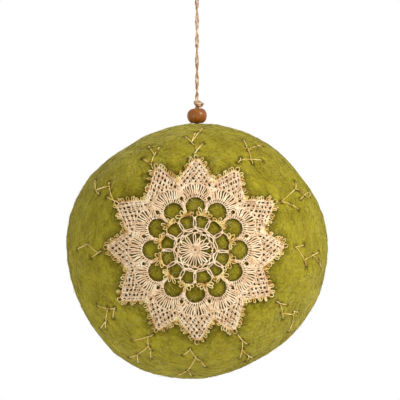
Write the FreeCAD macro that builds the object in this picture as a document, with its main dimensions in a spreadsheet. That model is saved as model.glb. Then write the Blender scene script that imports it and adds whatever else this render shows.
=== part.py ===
import FreeCAD, Part
import math
import os

import Sketcher
from FreeCAD import Rotation, Vector

# A felted wool ball ornament. A crocheted doily of twelve petals lies on its front, twelve
# sprigs of gold thread are sewn round the doily, and a bead and a knot sit on top of it.
# Millimetres, +Z up. The origin is the hanging point, at the top of the inside of the cord's
# loop. The ball hangs below it and its decorated front faces -Y.

# Driving dimensions. Counts and angles are plain numbers.
SIZES = {
    # Hanging point to the centre of the ball
    "hang_height": 145.0,
    "ball_diameter": 108.5,
    # Turned bead, sunk a little into the felt by the pull of its cord
    "bead_diameter": 8.1,
    "bead_height": 6.3,
    "bead_land": 0.7,
    "bead_sink": 0.8,
    "bore_clearance": 0.1,
    # Two strands side by side make the cord
    "strand_diameter": 0.9,
    "strand_gap": 0.06,
    "tail_depth": 12.0,
    "neck_height": 0.4,
    # Overhand knot: one turn of cord, leaning over to the right
    "knot_height": 2.8,
    "knot_turn_radius": 1.2,
    "knot_thread": 0.72,
    "knot_lean": 35.0,
    "knot_shift": 0.9,
    # The doily lies a little left of the middle of the ball
    "doily_shift": 0.8,
    "doily_raise": 0.2,
    "lace_thickness": 0.6,
    # Thicker rounds of thread that stand up from the lace
    "round_height": 0.3,
    "round_width": 0.45,
    "round_margin": 0.12,
    # Rosette: loops round a centre hole, then a net, then round eyelets between posts
    "centre_hole": 0.9,
    "loop_count": 13,
    "loop_inner": 3.3,
    "loop_outer": 6.3,
    "loop_slot": 0.8,
    "net_radius": 8.2,
    "net_hole": 1.0,
    "eyelet_radius": 12.0,
    "eyelet_diameter": 4.6,
    "rosette_rim": 0.5,
    "rosette_scallop": 1.5,
    # Gold round of arcs, with three picots over each eyelet
    "gold_width": 1.1,
    "gold_picot": 0.9,
    # Petal ring: arches round large holes, fans over them and twelve mesh petals
    "arch_reach": 22.3,
    "fan_start": 1.3,
    "fan_length": 2.5,
    "fan_slot": 0.6,
    "fan_spread": 38.0,
    "gusset_radius": 24.6,
    "gusset_gap": 1.7,
    "mesh_radius": 29.4,
    "mesh_pitch": 3.4,
    "mesh_gap": 1.7,
    "notch_radius": 29.8,
    "petal_radius": 38.0,
    "petal_tip": 2.3,
    "shoulder_drop": 1.0,
    # Gold picots round the petals
    "edging_width": 0.7,
    "edging_start": 0.7,
    "edging_picot": 1.0,
    "side_picots": 6,
    # Sprigs
    "thread_diameter": 0.45,
    "thread_bury": 0.05,
    "longest_stitch": 8.0,
}

PETALS = 12
SECTOR = 360.0 / PETALS

# Where the ball stands in the reference picture, in its pixels
PHOTO_CENTRE = (197.0, 250.5)
PHOTO_RADIUS = 129.0

# Each sprig is feather stitch: a stem that zigzags outwards, with an arm at each turn. The
# points are places on the ball as the reference picture shows them, in its pixels.
SPRIGS = {
    "sprig_01": [
        [(194, 153), (203, 143)],
        [(197, 150), (192, 142), (185, 136)],
        [(192, 142), (199, 132), (203, 128)],
    ],
    "sprig_02": [
        [(238, 162), (240, 160), (251, 160), (262, 161)],
        [(251, 160), (248, 150), (243, 140)],
        [(248, 150), (256, 146), (263, 146)],
    ],
    "sprig_03": [
        [(281, 202), (291, 205), (299, 210)],
        [(281, 202), (296, 189), (295, 181)],
        [(296, 189), (304, 195), (300, 199)],
        [(304, 195), (309, 192), (310, 196)],
    ],
    "sprig_04": [
        [(304, 245), (296, 247), (304, 260), (306, 266)],
        [(304, 260), (313, 255), (319, 252)],
        [(313, 255), (318, 261), (321, 268)],
    ],
    "sprig_05": [
        [(277, 301), (281, 304), (288, 305)],
        [(281, 304), (282, 313), (283, 319)],
        [(282, 313), (293, 314), (295, 311), (299, 312)],
        [(293, 314), (293, 320), (288, 332)],
    ],
    "sprig_06": [
        [(238, 334), (243, 341), (248, 344)],
        [(243, 341), (242, 349), (240, 358)],
        [(242, 349), (250, 356), (253, 358)],
        [(250, 356), (247, 361)],
    ],
    "sprig_07": [
        [(182, 356), (190, 349), (196, 358), (206, 367)],
        [(196, 358), (188, 370), (178, 375)],
        [(188, 370), (192, 376)],
    ],
    "sprig_08": [
        [(154, 335), (148, 337), (132, 341)],
        [(148, 337), (149, 346), (151, 359)],
        [(149, 346), (138, 355), (128, 357)],
        [(138, 355), (138, 363)],
    ],
    "sprig_09": [
        [(114, 308), (108, 308), (97, 305)],
        [(114, 308), (113, 318)],
        [(108, 308), (106, 321), (100, 329)],
        [(106, 321), (106, 329)],
    ],
    "sprig_10": [
        [(77, 249), (88, 244), (98, 253), (101, 251)],
        [(98, 253), (91, 258)],
    ],
    "sprig_11": [
        [(113, 201), (106, 197)],
        [(113, 201), (109, 187), (109, 181)],
        [(109, 187), (96, 190), (99, 194)],
        [(96, 190), (96, 180)],
    ],
    "sprig_12": [
        [(152, 167), (151, 164), (142, 158)],
        [(151, 164), (155, 155), (160, 147)],
        [(155, 155), (150, 149), (148, 146)],
    ],
}

# Left half of the top loop from its foot to its crown, as (x, z) from the hanging point. The
# crown's points stand round a hook 6 mm thick, and the right half is their mirror image.
LOOP_FOOT = -24.0
LOOP_RISE = -18.0
LOOP_SHOULDER = (-3.66, -1.97)
LOOP_CROWN = (-1.59, 0.45)
BEND_SHARE = 0.45

doc = FreeCAD.newDocument("felt_ornament")


def make_sheet():
    """The driving dimensions, one aliased cell each."""
    cells = doc.addObject("Spreadsheet::Sheet", "Sizes")
    for row, (alias, value) in enumerate(SIZES.items(), start=1):
        cells.set(f"A{row}", alias)
        cells.set(f"B{row}", str(value))
        cells.setAlias(f"B{row}", alias)
    doc.recompute()
    return cells


sheet = make_sheet()

# Shared expressions, in the sheet's terms
BALL_RADIUS = "Sizes.ball_diameter / 2"
CORD_DIAMETER = "(2 * Sizes.strand_diameter + Sizes.strand_gap)"
BEAD_BORE = f"({CORD_DIAMETER} + 2 * Sizes.bore_clearance)"
BEAD_FLAT = f"({BEAD_BORE} + 2 * Sizes.bead_land)"
BEAD_BOTTOM = f"({BALL_RADIUS} - Sizes.bead_sink)"
BEAD_TOP = f"({BEAD_BOTTOM} + Sizes.bead_height)"
KNOT_BOTTOM = f"({BEAD_TOP} + Sizes.neck_height)"
KNOT_TOP = f"({KNOT_BOTTOM} + Sizes.knot_height)"


def size(alias):
    """A driving dimension's value."""
    return float(sheet.get(alias))


def place(obj, z="0", x="0"):
    """Puts an object at a height over the ball's centre, given as an expression."""
    obj.setExpression("Placement.Base.x", x)
    obj.setExpression("Placement.Base.z", f"{z} - Sizes.hang_height")


def new_body(name, z="0"):
    """A body of its own, with its origin over the ball's centre."""
    body = doc.addObject("PartDesign::Body", name)
    body.Label = name
    place(body, z)
    return body


def new_sketch(body, name, height="0"):
    """A sketch on the body's upright plane, raised by an expression."""
    plane = [item for item in body.Origin.OriginFeatures if item.Role == "XZ_Plane"][0]
    sketch = body.newObject("Sketcher::SketchObject", name)
    sketch.AttachmentSupport = [(plane, "")]
    sketch.MapMode = "FlatFace"
    sketch.setExpression("AttachmentOffset.Base.y", height)
    return sketch


def bind(sketch, kind, arguments, expression, start):
    """Adds a dimension to a sketch and ties it to the sheet."""
    index = sketch.addConstraint(Sketcher.Constraint(kind, *arguments, start))
    sketch.setExpression(f"Constraints[{index}]", expression)


def turn(body, sketch, kind, name):
    """Revolves a sketch about the upright axis, as added or as cut material."""
    feature = body.newObject(f"PartDesign::{kind}", name)
    feature.Profile = sketch
    feature.ReferenceAxis = (sketch, ["V_Axis"])
    feature.Angle = 360.0
    body.Tip = feature
    return feature


def half_disc(sketch):
    """The ball's half section: an arc closed along the axis."""
    radius = size("ball_diameter") / 2
    circle = Part.Circle(Vector(0, 0, 0), Vector(0, 0, 1), radius)
    arc = sketch.addGeometry(Part.ArcOfCircle(circle, -math.pi / 2, math.pi / 2))
    chord = sketch.addGeometry(Part.LineSegment(Vector(0, radius, 0), Vector(0, -radius, 0)))
    sketch.addConstraint(Sketcher.Constraint("Coincident", arc, 3, -1, 1))
    sketch.addConstraint(Sketcher.Constraint("Coincident", arc, 2, chord, 1))
    sketch.addConstraint(Sketcher.Constraint("Coincident", chord, 2, arc, 1))
    sketch.addConstraint(Sketcher.Constraint("PointOnObject", chord, 1, -2))
    sketch.addConstraint(Sketcher.Constraint("PointOnObject", chord, 2, -2))
    bind(sketch, "Radius", (arc,), BALL_RADIUS, radius)


def bead_section(sketch, bore=None):
    """The bead's half section: a bulging arc between two flat ends, bored or whole."""
    outer = size("bead_diameter") / 2
    half = size("bead_height") / 2
    cord = 2 * size("strand_diameter") + size("strand_gap")
    inner = cord / 2 + size("bore_clearance") if bore else 0.0
    flat = cord / 2 + size("bore_clearance") + size("bead_land")
    bulge = Part.Arc(Vector(flat, half, 0), Vector(outer, 0, 0), Vector(flat, -half, 0))
    start_radius = bulge.toShape().Curve.Radius
    top = sketch.addGeometry(Part.LineSegment(Vector(inner, half, 0), Vector(flat, half, 0)))
    arc = sketch.addGeometry(bulge)
    end = sketch.addGeometry(Part.LineSegment(Vector(flat, -half, 0), Vector(inner, -half, 0)))
    wall = sketch.addGeometry(Part.LineSegment(Vector(inner, -half, 0), Vector(inner, half, 0)))
    # Three-point arcs run anticlockwise, so this one starts at the bottom
    for pair in ((top, 2, arc, 2), (arc, 1, end, 1), (end, 2, wall, 1), (wall, 2, top, 1)):
        sketch.addConstraint(Sketcher.Constraint("Coincident", *pair))
    sketch.addConstraint(Sketcher.Constraint("Horizontal", top))
    sketch.addConstraint(Sketcher.Constraint("Horizontal", end))
    sketch.addConstraint(Sketcher.Constraint("Symmetric", arc, 1, arc, 2, -1))
    if bore:
        sketch.addConstraint(Sketcher.Constraint("Vertical", wall))
        bind(sketch, "DistanceX", (-1, 1, wall, 1), f"{bore} / 2", inner)
    else:
        sketch.addConstraint(Sketcher.Constraint("PointOnObject", wall, 1, -2))
        sketch.addConstraint(Sketcher.Constraint("PointOnObject", wall, 2, -2))
    bind(sketch, "DistanceX", (-1, 1, arc, 2), f"{BEAD_FLAT} / 2", flat)
    bind(sketch, "DistanceY", (arc, 1, arc, 2), "Sizes.bead_height", 2 * half)
    reach = "Sizes.bead_diameter / 2"
    rise = f"({reach} * {reach} - {BEAD_FLAT} * {BEAD_FLAT} / 4"
    rise += " - Sizes.bead_height * Sizes.bead_height / 4)"
    radius = f"{reach} - {rise} / (Sizes.bead_diameter - {BEAD_FLAT})"
    bind(sketch, "Radius", (arc,), radius, start_radius)


def tail_section(sketch):
    """Half section of the stitch hole that takes the cord's tail, from the bead down."""
    width = size("strand_diameter") + size("strand_gap") / 2
    low = -size("tail_depth")
    high = size("bead_sink")
    corners = [Vector(0, high, 0), Vector(0, low, 0), Vector(width, low, 0), Vector(width, high, 0)]
    lines = []
    for start, stop in zip(corners, corners[1:] + corners[:1]):
        lines.append(sketch.addGeometry(Part.LineSegment(start, stop)))
    for line, following in zip(lines, lines[1:] + lines[:1]):
        sketch.addConstraint(Sketcher.Constraint("Coincident", line, 2, following, 1))
    sketch.addConstraint(Sketcher.Constraint("PointOnObject", lines[0], 1, -2))
    sketch.addConstraint(Sketcher.Constraint("PointOnObject", lines[0], 2, -2))
    sketch.addConstraint(Sketcher.Constraint("Horizontal", lines[1]))
    sketch.addConstraint(Sketcher.Constraint("Vertical", lines[2]))
    sketch.addConstraint(Sketcher.Constraint("Horizontal", lines[3]))
    bind(sketch, "DistanceX", (-1, 1, lines[2], 1), f"{CORD_DIAMETER} / 2", width)
    bind(sketch, "DistanceY", (lines[2], 1, -1, 1), "Sizes.tail_depth", -low)
    bind(sketch, "DistanceY", (-1, 1, lines[0], 1), "Sizes.bead_sink", high)


def make_ball():
    """Felt ball with the bead's seat and the stitch hole of the cord's tail."""
    body = new_body("felt_ball")
    outline = new_sketch(body, "ball_outline")
    half_disc(outline)
    turn(body, outline, "Revolution", "ball_turned")
    seat = new_sketch(body, "seat_outline", f"{BEAD_BOTTOM} + Sizes.bead_height / 2")
    bead_section(seat)
    turn(body, seat, "Groove", "bead_seat")
    hole = new_sketch(body, "hole_outline", BEAD_BOTTOM)
    tail_section(hole)
    turn(body, hole, "Groove", "tail_hole")
    return body


def make_bead():
    """Turned bead, threaded on the cord."""
    body = new_body("wooden_bead", f"{BEAD_BOTTOM} + Sizes.bead_height / 2")
    outline = new_sketch(body, "bead_outline")
    bead_section(outline, BEAD_BORE)
    turn(body, outline, "Revolution", "bead_turned")
    return body


def make_rod(name, low, high):
    """An upright length of the doubled cord between two heights."""
    rod = doc.addObject("Part::Cylinder", name)
    rod.setExpression("Radius", f"{CORD_DIAMETER} / 2")
    rod.setExpression("Height", f"{high} - {low}")
    place(rod, low)
    return rod


def make_knot():
    """Overhand knot: a leaning turn of cord round the upright cord."""
    core = make_rod("knot_core", KNOT_BOTTOM, KNOT_TOP)
    loop = doc.addObject("Part::Torus", "knot_turn")
    loop.setExpression("Radius1", "Sizes.knot_turn_radius")
    loop.setExpression("Radius2", "Sizes.knot_thread")
    loop.Placement.Rotation = Rotation(Vector(0, 1, 0), size("knot_lean"))
    place(loop, f"({KNOT_BOTTOM} + {KNOT_TOP}) / 2", "Sizes.knot_shift")
    knot = doc.addObject("Part::Fuse", "cord_knot")
    knot.Base = core
    knot.Tool = loop
    return knot


def loop_route():
    """The top loop's route from its left foot over the hook to its right foot."""
    foot = -(size("strand_diameter") + size("strand_gap")) / 2
    left = [(foot, LOOP_FOOT), (foot, LOOP_RISE), LOOP_SHOULDER, LOOP_CROWN]
    right = [(-x, z) for x, z in reversed(left)]
    return [Vector(x, 0, z) for x, z in left + right]


def rounded_path(points):
    """Straight runs joined by tangent arcs, each as large as its shorter run allows."""
    edges = []
    start = points[0]
    for before, corner, after in zip(points, points[1:], points[2:]):
        inward = (before - corner).normalize()
        onward = (after - corner).normalize()
        half_turn = (math.pi - inward.getAngle(onward)) / 2
        trim = BEND_SHARE * min(before.distanceToPoint(corner), after.distanceToPoint(corner))
        radius = trim / math.tan(half_turn)
        print(f"cord bend at {corner.x:.2f}, {corner.z:.2f}: radius {radius:.2f} mm")
        entry = corner + inward * trim
        leave = corner + onward * trim
        bisector = (inward + onward).normalize()
        middle = corner + bisector * (radius / math.cos(half_turn) - radius)
        edges.append(Part.LineSegment(start, entry).toShape())
        edges.append(Part.Arc(entry, middle, leave).toShape())
        start = leave
    edges.append(Part.LineSegment(start, points[-1]).toShape())
    return Part.Wire(edges)


def make_top_loop():
    """One strand that leaves the twist, goes over the hook and comes back."""
    points = loop_route()
    path = rounded_path(points)
    radius = size("strand_diameter") / 2
    section = Part.Wire([Part.makeCircle(radius, points[0], points[1] - points[0])])
    loop = doc.addObject("Part::Feature", "cord_top_loop")
    loop.Shape = path.makePipeShell([section], True, True)
    expected = math.pi * radius**2 * path.Length
    print(f"loop volume {loop.Shape.Volume:.2f}, section by length {expected:.2f} mm3")
    return loop


def polar(radius, degrees):
    """A point of the flat doily, which is drawn upright and seen from the front."""
    angle = math.radians(degrees)
    return Vector(radius * math.cos(angle), 0, radius * math.sin(angle))


def arc(start, middle, stop):
    """An edge through three points."""
    return Part.Arc(start, middle, stop).toShape()


def line(start, stop):
    """A straight edge."""
    return Part.LineSegment(start, stop).toShape()


def ring(radius, centre=Vector(0, 0, 0)):
    """A round hole or rim."""
    return Part.Wire([Part.makeCircle(radius, centre, Vector(0, 1, 0))])


def polygon(points):
    """A closed wire of straight edges."""
    return Part.makePolygon(points + points[:1])


def diamond(centre, width, height, degrees):
    """A four-cornered gap, its height along the given direction."""
    along = polar(height / 2, degrees)
    across = polar(width / 2, degrees + 90)
    return polygon([centre + along, centre + across, centre - along, centre - across])


def slot(foot, degrees, length, width):
    """A long round-ended gap that starts at its foot."""
    along = polar(1, degrees)
    across = polar(width / 2, degrees + 90)
    near = foot + along * (width / 2)
    far = foot + along * (length - width / 2)
    end = foot + along * length
    return Part.Wire(
        [
            line(near + across, far + across),
            arc(far + across, end, far - across),
            line(far - across, near - across),
            arc(near - across, foot, near + across),
        ]
    )


def face(outer, holes):
    """A flat face with holes."""
    return Part.makeFace([outer] + holes, "Part::FaceMakerBullseye")


def rosette_peak():
    """How far the rosette's rim reaches over an eyelet."""
    return size("eyelet_radius") + size("eyelet_diameter") / 2 + size("rosette_rim")


def rosette_rim():
    """Twelve shallow arcs, one over each eyelet, with a valley at each post."""
    peak = rosette_peak()
    valley = peak - size("rosette_scallop")
    edges = []
    for k in range(PETALS):
        post = k * SECTOR
        edges.append(
            arc(polar(valley, post), polar(peak, post + SECTOR / 2), polar(valley, post + SECTOR))
        )
    return Part.Wire(edges)


# Where the gold picots of one arc begin and end, as shares of a sector
PICOT_ENDS = (0.11, 0.37, 0.63, 0.89)


def gold_points(k):
    """Feet of the picots over eyelet k, on the gold arc."""
    peak = rosette_peak() + size("gold_width")
    drop = size("rosette_scallop") / 2
    radii = (peak - drop, peak, peak, peak - drop)
    return [polar(r, (k + share) * SECTOR) for r, share in zip(radii, PICOT_ENDS)]


def middle_picot(k):
    """The gold picot that carries pillar k of the petal ring."""
    left, right = gold_points(k)[1:3]
    crown = polar(rosette_peak() + size("gold_width") + size("gold_picot"), (k + 0.5) * SECTOR)
    return arc(left, crown, right)


def bump(start, stop, rise):
    """An arc that stands out from the straight line between two points."""
    middle = (start + stop) * 0.5
    outward = Vector(stop.z - start.z, 0, start.x - stop.x).normalize()
    return arc(start, middle + outward * rise, stop)


def gold_rim():
    """Outer rim of the gold round: three picots over each eyelet, a valley at each post."""
    valley = rosette_peak() - size("rosette_scallop") + size("gold_width")
    picot = size("gold_picot")
    edges = []
    for k in range(PETALS):
        a, b, c, d = gold_points(k)
        edges.append(line(polar(valley, k * SECTOR), a))
        edges.append(bump(a, b, picot))
        edges.append(middle_picot(k))
        edges.append(bump(c, d, picot))
        edges.append(line(d, polar(valley, (k + 1) * SECTOR)))
    return Part.Wire(edges)


def arch(k):
    """The edge of the large hole under petal k, from pillar to pillar."""
    start = gold_points(k - 1)[2]
    stop = gold_points(k)[1]
    return arc(start, polar(size("arch_reach"), k * SECTOR), stop)


def arch_curve(k):
    """The circle that the arch under petal k follows."""
    return arch(k).Curve


def arches():
    """Inner rim of the petal ring: pillars on the gold picots, large holes between them."""
    edges = []
    for k in range(PETALS):
        edges += [middle_picot(k), arch(k + 1)]
    return Part.Wire(edges)


def petal_corners(k, grow=0.0):
    """Corners of petal k: its shoulders and its tip, with the notch after it."""
    axis = k * SECTOR
    along = polar(1, axis)
    across = polar(1, axis + 90)
    tip = size("petal_radius") + grow
    side = across * (size("petal_tip") + grow / 2)
    before = along * (tip - size("shoulder_drop")) - side
    after = along * (tip - size("shoulder_drop")) + side
    notch = polar(size("notch_radius") + 2 * grow, axis + SECTOR / 2)
    return before, along * tip, after, notch


def petal_rim():
    """Outer rim of the petal ring."""
    edges = []
    last = petal_corners(PETALS - 1)[3]
    for k in range(PETALS):
        before, tip, after, notch = petal_corners(k)
        edges += [line(last, before), arc(before, tip, after), line(after, notch)]
        last = notch
    return Part.Wire(edges)


def picots(start, stop, count):
    """A row of small outward arcs between two points."""
    step = (stop - start) * (1.0 / count)
    rise = size("edging_picot")
    return [bump(start + step * i, start + step * (i + 1), rise) for i in range(count)]


def edging_rim():
    """Outer rim of the gold edging: picots up and down each petal and two on its tip."""
    grow = size("edging_width")
    count = int(size("side_picots"))
    edges = []
    last = petal_corners(PETALS - 1, grow)[3]
    for k in range(PETALS):
        before, tip, after, notch = petal_corners(k, grow)
        first = last + (before - last).normalize() * size("edging_start")
        final = notch + (after - notch).normalize() * size("edging_start")
        edges.append(line(last, first))
        edges += picots(first, before, count)
        edges += picots(before, tip, 1)
        edges += picots(tip, after, 1)
        edges += picots(after, final, count)
        edges.append(line(final, notch))
        last = notch
    return Part.Wire(edges)


def rosette_holes():
    """Centre hole, loops, net and eyelets."""
    holes = [ring(size("centre_hole") / 2)]
    count = int(size("loop_count"))
    length = size("loop_outer") - size("loop_inner")
    for k in range(count):
        angle = 360.0 * k / count
        holes.append(slot(polar(size("loop_inner"), angle), angle, length, size("loop_slot")))
    for k in range(PETALS):
        angle = (k + 0.5) * SECTOR
        holes.append(ring(size("eyelet_diameter") / 2, polar(size("eyelet_radius"), angle)))
        net = size("net_hole")
        holes.append(diamond(polar(size("net_radius"), k * SECTOR), net, net, k * SECTOR))
    return holes


def petal_holes():
    """Fans over the arches, a gusset gap between them, and the mesh of each petal."""
    holes = []
    for k in range(PETALS):
        axis = k * SECTOR
        gap = size("gusset_gap")
        corner = polar(size("gusset_radius"), axis + SECTOR / 2)
        holes.append(diamond(corner, gap, gap, axis + SECTOR / 2))
        hole = arch_curve(k)
        for fan in (-1, 0, 1):
            angle = axis + fan * size("fan_spread")
            foot = hole.Center + polar(hole.Radius + size("fan_start"), angle)
            holes.append(slot(foot, angle, size("fan_length"), size("fan_slot")))
        # Three rows of mesh, each a cell shorter than the row below it
        cell = size("mesh_gap")
        pitch = size("mesh_pitch")
        for row in range(3):
            for column in range(3 - row):
                out = size("mesh_radius") + row * pitch * 0.85
                aside = (column - (2 - row) / 2) * pitch
                centre = polar(out, axis) + polar(aside, axis + 90)
                holes.append(diamond(centre, cell, cell, axis))
    return holes


def band(centre, inner, reach=180.0, axis=0.0):
    """A raised round about a centre: a whole ring, or so many degrees each side of an axis."""
    outer = inner + size("round_width")
    if reach >= 180.0:
        return face(ring(outer, centre), [ring(inner, centre)])
    ends = [polar(1, axis - reach), polar(1, axis), polar(1, axis + reach)]
    far = [centre + end * outer for end in ends]
    near = [centre + end * inner for end in ends]
    wire = [arc(*far), line(far[2], near[2]), arc(*reversed(near)), line(near[0], far[0])]
    return Part.Face(Part.Wire(wire))


def rosette_rounds():
    """Rounds inside the loops, outside them and under the eyelets."""
    margin = size("round_margin")
    width = size("round_width")
    middle = Vector(0, 0, 0)
    eyelet_foot = size("eyelet_radius") - size("eyelet_diameter") / 2
    starts = [size("loop_inner") - margin - width, size("loop_outer") + margin]
    starts.append(eyelet_foot - margin - width)
    return Part.makeCompound([band(middle, start) for start in starts])


def petal_rounds():
    """The round that runs over each arch."""
    rounds = []
    for k in range(PETALS):
        hole = arch_curve(k)
        rounds.append(band(hole.Center, hole.Radius + size("round_margin"), 100.0, k * SECTOR))
    return Part.makeCompound(rounds)


def make_shell(name, thickness):
    """The layer over the ball that a flat piece of lace is laid into."""
    skin = doc.getObject("felt_surface")
    top = doc.addObject("Part::Sphere", f"{name}_top")
    top.setExpression("Radius", f"{BALL_RADIUS} + {thickness}")
    place(top)
    shell = doc.addObject("Part::Cut", name)
    shell.Base = top
    shell.Tool = skin
    return shell


def lay(name, flat, shell):
    """Lays a flat pattern on the front of the ball, as thick as the shell."""
    pattern = doc.addObject("Part::Feature", f"{name}_pattern")
    pattern.Shape = flat
    place(pattern, "Sizes.doily_raise", "-Sizes.doily_shift")
    prism = doc.addObject("Part::Extrusion", f"{name}_prism")
    prism.Base = pattern
    prism.DirMode = "Custom"
    prism.Dir = Vector(0, -1, 0)
    prism.Solid = True
    prism.setExpression("LengthFwd", "Sizes.ball_diameter")
    laid = doc.addObject("Part::Common", name)
    laid.Base = prism
    laid.Tool = shell
    return laid


def lay_with_rounds(name, flat, shell, rounds, thick_shell):
    """Lays a flat pattern and fuses its raised rounds to it."""
    lace = doc.addObject("Part::Fuse", name)
    lace.Base = lay(f"{name}_ground", flat, shell)
    lace.Tool = lay(f"{name}_rounds", rounds, thick_shell)
    return lace


def make_stitches(name, chains):
    """One sprig: round stitches from place to place, pressed into the felt."""
    centre = Vector(0, 0, -size("hang_height"))
    radius = size("ball_diameter") / 2 + size("thread_diameter") / 2 - size("thread_bury")
    thread = size("thread_diameter") / 2

    def outward(pixel):
        x = (pixel[0] - PHOTO_CENTRE[0]) / PHOTO_RADIUS
        z = (PHOTO_CENTRE[1] - pixel[1]) / PHOTO_RADIUS
        return Vector(x, -math.sqrt(1 - x * x - z * z), z)

    stitches = []
    for chain in chains:
        for first, second in zip(chain, chain[1:]):
            start = outward(first)
            reach = start.getAngle(outward(second)) * radius
            steps = math.ceil(reach / size("longest_stitch"))
            step = (outward(second) - start) * (1.0 / steps)
            # A long stitch follows the felt in shorter straight runs
            stops = [centre + (start + step * i).normalize() * radius for i in range(steps + 1)]
            for low, high in zip(stops, stops[1:]):
                run = high - low
                stitches.append(Part.makeCylinder(thread, run.Length, low, run))
    raw = doc.addObject("Part::Feature", f"{name}_stitches")
    raw.Shape = stitches[0].fuse(stitches[1:])
    sprig = doc.addObject("Part::Cut", name)
    sprig.Base = raw
    sprig.Tool = doc.getObject("felt_surface")
    return sprig


def make_surface():
    """The felt's round surface, which lace and stitches lie on."""
    skin = doc.addObject("Part::Sphere", "felt_surface")
    skin.setExpression("Radius", BALL_RADIUS)
    place(skin)


def make_all():
    """Every piece of the ornament, each under its own label."""
    make_surface()
    lace = make_shell("lace_layer", "Sizes.lace_thickness")
    thick = make_shell("round_layer", "Sizes.lace_thickness + Sizes.round_height")
    rim = rosette_rim()
    gold = gold_rim()
    petals = petal_rim()
    rosette = face(rim, rosette_holes())
    petal_ring = face(petals, [arches()] + petal_holes())
    pieces = [
        make_ball(),
        make_bead(),
        make_rod("cord_tail", f"({BEAD_BOTTOM} - Sizes.tail_depth)", KNOT_BOTTOM),
        make_knot(),
        make_rod("hanging_cord", KNOT_TOP, f"(Sizes.hang_height + {LOOP_FOOT})"),
        make_top_loop(),
        lay_with_rounds("doily_rosette", rosette, lace, rosette_rounds(), thick),
        lay("doily_gold_ring", face(gold, [rim]), lace),
        lay_with_rounds("doily_petal_ring", petal_ring, lace, petal_rounds(), thick),
        lay("doily_gold_edging", face(edging_rim(), [petals]), lace),
    ]
    for name, chains in SPRIGS.items():
        pieces.append(make_stitches(name, chains))
    return pieces


def check(pieces):
    """Stops at anything that failed to build."""
    for item in doc.Objects:
        if "Invalid" in item.State or "Error" in item.State:
            raise RuntimeError(f"{item.Name} failed: {item.State}")
    for piece in pieces:
        shape = piece.Shape
        if shape.isNull() or not shape.isValid() or shape.Volume <= 0:
            raise RuntimeError(f"{piece.Label} has no valid shape")


parts = make_all()
doc.recompute()
check(parts)
os.makedirs("parts", exist_ok=True)
for part in parts:
    part.Shape.exportStep(f"parts/{part.Label}.step")
    print(f"{part.Label}: {len(part.Shape.Solids)} solid, {part.Shape.Volume:.1f} mm3")
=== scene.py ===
import math
import random

import bmesh
import bpy
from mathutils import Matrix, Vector, noise
from mathutils.bvhtree import BVHTree
from mathutils.kdtree import KDTree


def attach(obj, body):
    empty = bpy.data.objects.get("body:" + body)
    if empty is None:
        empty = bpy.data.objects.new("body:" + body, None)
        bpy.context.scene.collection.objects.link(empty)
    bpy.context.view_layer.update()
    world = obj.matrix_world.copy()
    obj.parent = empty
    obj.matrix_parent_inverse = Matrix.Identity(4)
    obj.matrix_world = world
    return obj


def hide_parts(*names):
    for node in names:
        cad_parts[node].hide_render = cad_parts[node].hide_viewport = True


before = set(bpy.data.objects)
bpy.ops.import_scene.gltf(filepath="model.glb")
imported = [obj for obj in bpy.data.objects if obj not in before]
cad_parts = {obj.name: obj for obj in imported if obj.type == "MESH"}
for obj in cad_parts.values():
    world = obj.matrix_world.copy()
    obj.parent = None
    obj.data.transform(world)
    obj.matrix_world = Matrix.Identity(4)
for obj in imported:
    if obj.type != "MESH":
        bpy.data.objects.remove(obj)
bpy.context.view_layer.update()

MM = 0.001
PIXEL_MM = 0.42
BALL_RADIUS = 54.25 * MM
BALL_CENTRE = Vector((0, 0, -145 * MM))
# Where the ball's middle and the doily's middle lie in the photograph.
BALL_PIXEL = (197.0, 250.5)
DOILY_PIXEL = (195.3, 250.0)
PETAL_STEP = 30
RIB_SLOPE = math.tan(math.radians(PETAL_STEP / 2))
# One seeded hand lays every thread, and notes the spots where the threads press on the felt, round which
# the felt gets painted shade.
hand = random.Random(11)
pressed = []


# The camera stands level with the middle of the photograph's frame.

VIEW_WIDTH = 168 * MM
VIEW_DISTANCE = 2.0
VIEW_CENTRE = Vector((1.26 * MM, 0, -123.8 * MM))
EYE = VIEW_CENTRE - Vector((0, VIEW_DISTANCE, 0))


def set_camera():
    lens = bpy.data.cameras.new("photo_lens")
    lens.sensor_fit = "HORIZONTAL"
    lens.lens = VIEW_DISTANCE * lens.sensor_width / VIEW_WIDTH
    lens.clip_end = 20
    camera = bpy.data.objects.new("photo_camera", lens)
    camera.location = EYE
    camera.rotation_euler = (math.radians(90), 0, 0)
    bpy.context.scene.collection.objects.link(camera)
    bpy.context.scene.camera = camera


# Materials.

# The Mix node's sockets for numbers and for colours have the same names, so they go by number.
NUMBER_A, NUMBER_B, COLOUR_A, COLOUR_B = 2, 3, 6, 7
MIXED_NUMBER, MIXED_COLOUR = 0, 2


def linear(code):
    """An sRGB hex colour as the linear colour that a shader takes."""
    parts = [int(code[i : i + 2], 16) / 255 for i in (0, 2, 4)]
    bent = [c / 12.92 if c <= 0.04045 else ((c + 0.055) / 1.055) ** 2.4 for c in parts]
    return (*bent, 1.0)


def new_material(name):
    material = bpy.data.materials.new(name)
    material.use_nodes = True
    material.node_tree.nodes.clear()
    return material


def node(material, kind, feeds=(), stops=(), **settings):
    """Adds a node. Feeds link or set its sockets, stops colour its ramp, and settings set its properties
    or, where it has none of that name, its sockets."""
    added = material.node_tree.nodes.new(kind)
    for key, value in settings.items():
        if hasattr(added, key):
            setattr(added, key, value)
        else:
            added.inputs[key.replace("_", " ")].default_value = value
    for socket, source in feeds:
        if isinstance(source, bpy.types.NodeSocket):
            material.node_tree.links.new(source, added.inputs[socket])
        else:
            added.inputs[socket].default_value = source
    for index, (position, code) in enumerate(stops):
        marks = added.color_ramp.elements
        mark = marks[index] if index < len(marks) else marks.new(position)
        mark.position = position
        mark.color = linear(code)
    return added


def per_metre(size_mm):
    """The noise scale whose patches are about that many millimetres across."""
    return 1000 / size_mm


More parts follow.
